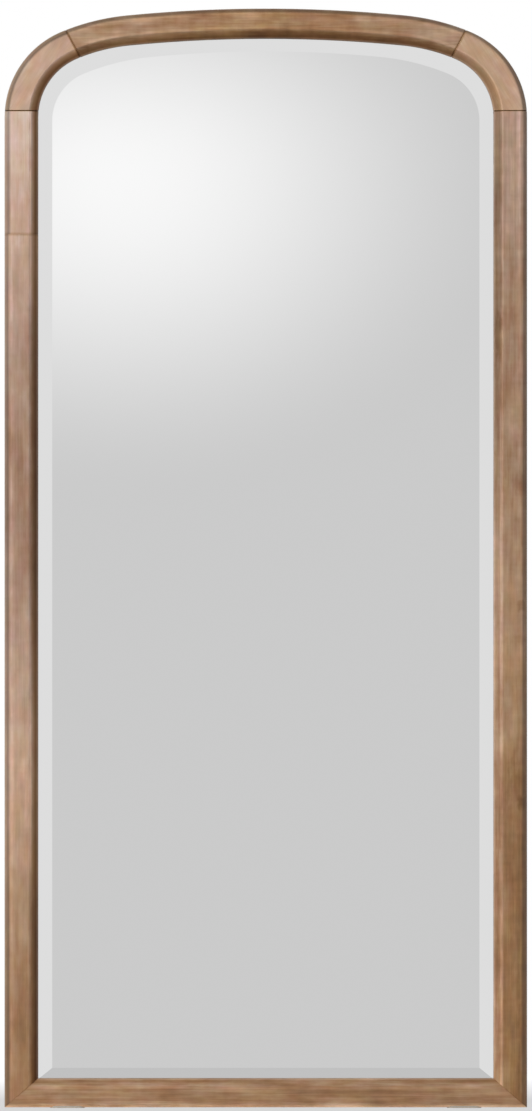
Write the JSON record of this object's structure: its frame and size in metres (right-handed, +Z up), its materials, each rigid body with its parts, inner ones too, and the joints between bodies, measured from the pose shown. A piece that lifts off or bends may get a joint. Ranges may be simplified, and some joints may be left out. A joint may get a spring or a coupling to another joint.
{
  "type": "leaning floor mirror",
  "caption": "Leaning floor mirror: arched wooden frame, bevelled mirror glass, back panel, swinging D rings for hanging, wall bumpers and floor pads.",
  "frame": {"origin": "middle of the bottom of the part's box, on the floor under the bottom rail", "axes": "+Z up the frame, -Y out of the mirror's face, +X to the right seen from the front"},
  "size_m": [0.914, 0.054, 1.9229],
  "materials": {
    "wood": "stained hardwood, satin",
    "tenon_wood": "raw beech",
    "mirror": "polished",
    "felt_tape": "felt",
    "block_rubber": "matte",
    "foam": "closed-cell foam",
    "hardboard": "hardboard, smooth",
    "screw_steel": "zinc plated",
    "zinc_steel": "zinc plated",
    "bumper_rubber": "matte",
    "pad_felt": "felt"
  },
  "bodies": {
    "mirror": {"bottom_rail": "wood", "left_stile": "wood", "left_stile_upper": "wood", "right_stile": "wood", "left_corner": "wood", "right_corner": "wood", "top_rail": "wood", "left_stile_tenon": "tenon_wood", "right_stile_tenon": "tenon_wood", "left_rail_tenon": "tenon_wood", "right_rail_tenon": "tenon_wood", "left_seam_tenon": "tenon_wood", "left_mitre_spline": "tenon_wood", "right_mitre_spline": "tenon_wood", "mirror_glass": "mirror", "glass_tape": "felt_tape", "setting_blocks": "block_rubber", "spacer_pads": "foam", "back_panel": "hardboard", "panel_screws": "screw_steel", "left_hanger": "zinc_steel", "right_hanger": "zinc_steel", "hanger_screws": "screw_steel", "left_corner_plate": "zinc_steel", "right_corner_plate": "zinc_steel", "plate_screws": "screw_steel", "upper_left_bumper": "bumper_rubber", "upper_right_bumper": "bumper_rubber", "lower_left_bumper": "bumper_rubber", "lower_right_bumper": "bumper_rubber", "left_floor_pad": "pad_felt", "right_floor_pad": "pad_felt"},
    "left_d_ring": {"left_ring": "zinc_steel"},
    "right_d_ring": {"right_ring": "zinc_steel"}
  },
  "joints": [
    {"name": "left_ring_swing", "type": "hinge", "parent": "mirror", "child": "left_d_ring", "pos_m": [-0.436, 0.022, 1.641], "axis": [1, 0, 0], "range_deg": [-2, 185]},
    {"name": "right_ring_swing", "type": "hinge", "parent": "mirror", "child": "right_d_ring", "pos_m": [0.436, 0.022, 1.641], "axis": [1, 0, 0], "range_deg": [-2, 185]}
  ]
}
